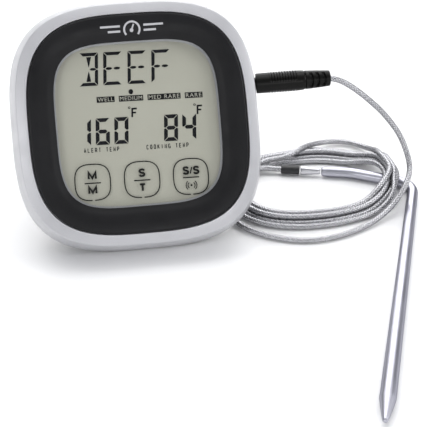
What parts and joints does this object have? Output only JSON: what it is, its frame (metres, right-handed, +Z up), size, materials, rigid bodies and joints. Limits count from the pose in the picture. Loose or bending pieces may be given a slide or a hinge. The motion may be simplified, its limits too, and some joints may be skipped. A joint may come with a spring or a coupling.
{
  "type": "leave-in meat thermometer",
  "caption": "Leave-in meat thermometer: square touch-screen display unit on a fold-out stand, with a plug-in braided cable and a bent stainless probe.",
  "frame": {"origin": "on the table, at the middle of the box around the display unit, its open stand and the probe (the cable and its plug left out)", "axes": "+Z up from the table; the display faces -Y, leaning back; +X is to the display's right as it is read, the side the plug leaves from; the probe's long leg points towards -Y"},
  "size_m": [0.1286, 0.1399, 0.068],
  "materials": {
    "silver_case": "satin silver paint on moulded plastic",
    "rear_grey": "fine-textured grey plastic",
    "black_fascia": "satin black",
    "lens": "clear, lightly anti-glare",
    "film": "clear sensor film",
    "lcd": "grey-green liquid crystal display",
    "white_plastic": "moulded white",
    "elastomer": "translucent pink strip",
    "circuit_board": "green solder resist",
    "epoxy": "potting compound",
    "black_plastic": "moulded black",
    "steel": "plain",
    "cell_wrap": "printed wrap on a cell",
    "rubber": "matt",
    "magnet": "nickel plate",
    "gold_plate": "gold plate",
    "plug_black": "moulded black",
    "cable_braid": "braided stainless wire over a core",
    "sleeve_black": "heat-shrink",
    "probe_steel": "satin drawn tube"
  },
  "bodies": {
    "display_unit": {"front_bezel": "silver_case", "fascia_frame": "black_fascia", "touch_lens": "lens", "touch_film": "film", "lcd_panel": "lcd", "display_tray": "white_plastic", "zebra_strip_upper": "elastomer", "zebra_strip_lower": "elastomer", "main_pcb": "circuit_board", "processor_chip": "epoxy", "clock_crystal": "steel", "buzzer": "black_plastic", "jack_socket": "black_plastic", "rear_case": "rear_grey", "battery_cell_upper": "cell_wrap", "battery_cell_lower": "cell_wrap", "contact_link_plate": "steel", "contact_plate_positive": "steel", "contact_plate_negative": "steel", "contact_spring_upper": "steel", "contact_spring_lower": "steel", "stand_hinge_pin": "steel", "case_screw_1": "steel", "case_screw_2": "steel", "case_screw_3": "steel", "case_screw_4": "steel", "board_screw_1": "steel", "board_screw_2": "steel", "magnet_left": "magnet", "magnet_right": "magnet", "power_switch_body": "steel", "unit_tact_switch": "black_plastic"},
    "stand": {"stand": "rear_grey", "stand_foot_pad": "rubber"},
    "battery_door": {"battery_door": "rear_grey"},
    "power_switch_knob": {"power_switch_knob": "black_plastic"},
    "unit_button": {"unit_button": "rear_grey"},
    "probe_set": {"plug_tip": "gold_plate", "plug_insulator": "black_plastic", "plug_sleeve": "gold_plate", "plug_body": "plug_black", "plug_strain_relief": "plug_black", "cable_lead": "cable_braid", "cable_coil": "cable_braid", "cable_tail": "cable_braid", "cable_sleeve": "sleeve_black", "probe_crimp": "probe_steel", "probe_tube": "probe_steel", "thermistor_bead": "epoxy"}
  },
  "joints": [
    {"name": "stand_fold", "type": "hinge", "parent": "display_unit", "child": "stand", "pos_m": [-0.02632, 0.0463, 0.02339], "axis": [1, 0, 0], "range_deg": [-53.6, 0]},
    {"name": "battery_door_swing", "type": "hinge", "parent": "display_unit", "child": "battery_door", "pos_m": [-0.02632, 0.06276, 0.04561], "axis": [1, 0, 0], "range_deg": [0, 75]},
    {"name": "power_switch_slide", "type": "slide", "parent": "display_unit", "child": "power_switch_knob", "axis": [1, 0, 0], "range_m": [0, 0.002]},
    {"name": "unit_button_press", "type": "slide", "parent": "display_unit", "child": "unit_button", "axis": [0, -0.8387, 0.5446], "range_m": [0, 0.0005], "stiffness_N_per_m": 400, "springref_m": -0.0005},
    {"name": "plug_pull", "type": "slide", "parent": "display_unit", "child": "probe_set", "axis": [1, 0, 0], "range_m": [0, 0.013]}
  ]
}
